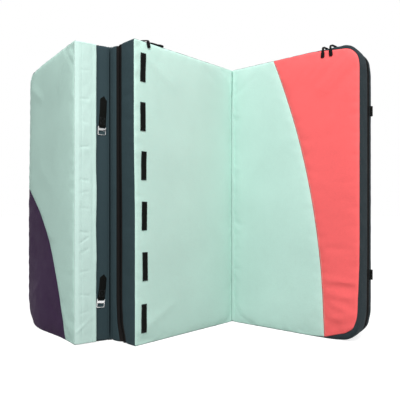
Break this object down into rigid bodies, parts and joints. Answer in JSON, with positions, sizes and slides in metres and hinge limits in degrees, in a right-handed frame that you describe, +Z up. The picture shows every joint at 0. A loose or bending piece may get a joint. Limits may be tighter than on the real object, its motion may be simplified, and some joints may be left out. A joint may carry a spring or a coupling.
{
  "type": "bouldering crash pad",
  "caption": "Folding bouldering crash pad: foam panels in zipped fabric covers, hinged in a Z fold, with a hook-and-loop closing flap, closing straps with buckles, and carrying straps.",
  "frame": {"origin": "on the floor, under the middle panel's front edge band, half way along its foot", "axes": "+X to the right along the half-open pad, +Y away from the front faces' side, +Z up along the panels' long sides"},
  "size_m": [1.2935, 0.4977, 1.0062],
  "materials": {
    "mint_fabric": "matte",
    "coral_fabric": "matte",
    "purple_fabric": "matte",
    "slate_fabric": "matte",
    "black_webbing": "matte",
    "zip_tape_fabric": "matte",
    "black_plastic": "satin",
    "cast_alloy": "satin",
    "closed_cell_foam": "matte",
    "open_cell_foam": "matte"
  },
  "bodies": {
    "middle_panel": {"front_hinge_cloth": "mint_fabric", "hook_strip_1": "black_webbing", "hook_strip_2": "black_webbing", "hook_strip_3": "black_webbing", "hook_strip_4": "black_webbing", "hook_strip_5": "black_webbing", "hook_strip_6": "black_webbing", "middle_back_cover": "slate_fabric", "middle_face": "mint_fabric", "middle_foam_base": "closed_cell_foam", "middle_foam_core": "open_cell_foam", "middle_foam_top": "closed_cell_foam", "middle_gusset_back": "slate_fabric", "middle_gusset_front": "slate_fabric", "middle_gusset_hinge": "slate_fabric", "middle_zip_tape": "zip_tape_fabric", "rear_hinge_cloth": "slate_fabric"},
    "left_panel": {"left_back_cover": "slate_fabric", "left_face_mint": "mint_fabric", "left_face_purple": "purple_fabric", "left_foam_base": "closed_cell_foam", "left_foam_core": "open_cell_foam", "left_foam_top": "closed_cell_foam", "left_gusset_back": "slate_fabric", "left_gusset_front": "slate_fabric", "left_gusset_hinge": "slate_fabric", "left_zip_tape": "zip_tape_fabric"},
    "right_panel": {"edge_tab_1": "black_webbing", "edge_tab_2": "black_webbing", "right_back_cover": "slate_fabric", "right_face_coral": "coral_fabric", "right_face_mint": "mint_fabric", "right_foam_base": "closed_cell_foam", "right_foam_core": "open_cell_foam", "right_foam_top": "closed_cell_foam", "right_gusset_back": "slate_fabric", "right_gusset_front": "slate_fabric", "right_gusset_hinge": "slate_fabric", "right_zip_tape": "zip_tape_fabric", "shoulder_pad_1": "slate_fabric", "shoulder_pad_2": "slate_fabric", "shoulder_webbing_1": "black_webbing", "shoulder_webbing_2": "black_webbing"},
    "flap": {"closing_flap": "mint_fabric", "flap_loop_lining": "black_webbing"},
    "upper_strap": {"upper_closing_strap": "black_webbing"},
    "lower_strap": {"lower_closing_strap": "black_webbing"},
    "upper_buckle_body": {"upper_buckle": "cast_alloy"},
    "lower_buckle_body": {"lower_buckle": "cast_alloy"},
    "left_zip_pull_1_body": {"left_zip_pull_1": "black_plastic"},
    "left_zip_slider_1_body": {"left_zip_slider_1": "black_plastic"},
    "middle_zip_pull_1_body": {"middle_zip_pull_1": "black_plastic"},
    "middle_zip_pull_2_body": {"middle_zip_pull_2": "black_plastic"},
    "middle_zip_slider_1_body": {"middle_zip_slider_1": "black_plastic"},
    "middle_zip_slider_2_body": {"middle_zip_slider_2": "black_plastic"},
    "right_zip_pull_1_body": {"right_zip_pull_1": "black_plastic"},
    "right_zip_pull_2_body": {"right_zip_pull_2": "black_plastic"},
    "right_zip_slider_1_body": {"right_zip_slider_1": "black_plastic"},
    "right_zip_slider_2_body": {"right_zip_slider_2": "black_plastic"}
  },
  "joints": [
    {"name": "fold_left", "type": "hinge", "parent": "middle_panel", "child": "left_panel", "pos_m": [-0.24323, -0.11916, 0], "axis": [0, 0, -1], "range_deg": [-101.5, 78.4], "deforming": ["rear_hinge_cloth"]},
    {"name": "fold_right", "type": "hinge", "parent": "middle_panel", "child": "right_panel", "pos_m": [0.20192, 0.15515, 0], "axis": [0, 0, -1], "range_deg": [-86.7, 91.2], "deforming": ["front_hinge_cloth"]},
    {"name": "flap_swing", "type": "hinge", "parent": "left_panel", "child": "flap", "pos_m": [-0.34827, -0.18604, 0], "axis": [0, 0, -1], "range_deg": [0, 225]},
    {"name": "upper_strap_swing", "type": "hinge", "parent": "left_panel", "child": "upper_strap", "pos_m": [-0.25214, -0.121, 0.838], "axis": [0, 0, 1], "range_deg": [0, 80]},
    {"name": "lower_strap_swing", "type": "hinge", "parent": "left_panel", "child": "lower_strap", "pos_m": [-0.25214, -0.121, 0.234], "axis": [0, 0, 1], "range_deg": [0, 80]},
    {"name": "upper_buckle_tilt", "type": "hinge", "parent": "upper_strap", "child": "upper_buckle_body", "pos_m": [-0.26704, -0.13189, 0.72436], "axis": [-0.825, -0.5628, 0.0523], "range_deg": [0, 80]},
    {"name": "lower_buckle_tilt", "type": "hinge", "parent": "lower_strap", "child": "lower_buckle_body", "pos_m": [-0.27, -0.13391, 0.1427], "axis": [-0.8216, -0.5604, 0.1045], "range_deg": [0, 80]},
    {"name": "middle_zip_slide_1", "type": "slide", "parent": "middle_panel", "child": "middle_zip_slider_1_body", "axis": [-0.6972, -0.7169, 0], "range_m": [-0.03, 0.018]},
    {"name": "middle_zip_pull_lift_1", "type": "hinge", "parent": "middle_zip_slider_1_body", "child": "middle_zip_pull_1_body", "pos_m": [-0.17993, -0.12492, 1.0048], "axis": [-0.6972, -0.7169, 0], "range_deg": [0, 165]},
    {"name": "middle_zip_slide_2", "type": "slide", "parent": "middle_panel", "child": "middle_zip_slider_2_body", "axis": [0.6972, 0.7169, 0], "range_m": [-0.03, 0.36]},
    {"name": "middle_zip_pull_lift_2", "type": "hinge", "parent": "middle_zip_slider_2_body", "child": "middle_zip_pull_2_body", "pos_m": [-0.12416, -0.06757, 1.0048], "axis": [-0.6972, -0.7169, 0], "range_deg": [0, 165]},
    {"name": "right_zip_slide_1", "type": "slide", "parent": "right_panel", "child": "right_zip_slider_1_body", "axis": [0.7559, -0.6547, 0], "range_m": [-0.004, 0.005]},
    {"name": "right_zip_pull_lift_1", "type": "hinge", "parent": "right_zip_slider_1_body", "child": "right_zip_pull_1_body", "pos_m": [0.56785, -0.03945, 1.0048], "axis": [-0.7559, 0.6547, 0], "range_deg": [0, 165]},
    {"name": "right_zip_slide_2", "type": "slide", "parent": "right_panel", "child": "right_zip_slider_2_body", "axis": [-0.7559, 0.6547, 0], "range_m": [-0.004, 0.35]},
    {"name": "right_zip_pull_lift_2", "type": "hinge", "parent": "right_zip_slider_2_body", "child": "right_zip_pull_2_body", "pos_m": [0.54593, -0.02047, 1.0048], "axis": [-0.7559, 0.6547, 0], "range_deg": [0, 165]},
    {"name": "left_zip_slide_1", "type": "slide", "parent": "left_panel", "child": "left_zip_slider_1_body", "axis": [0.5635, -0.8261, 0], "range_m": [-0.025, 0.35]},
    {"name": "left_zip_pull_lift_1", "type": "hinge", "parent": "left_zip_slider_1_body", "child": "left_zip_pull_1_body", "pos_m": [-0.501, 0.17105, 1.0048], "axis": [-0.5635, 0.8261, 0], "range_deg": [0, 165]}
  ]
}
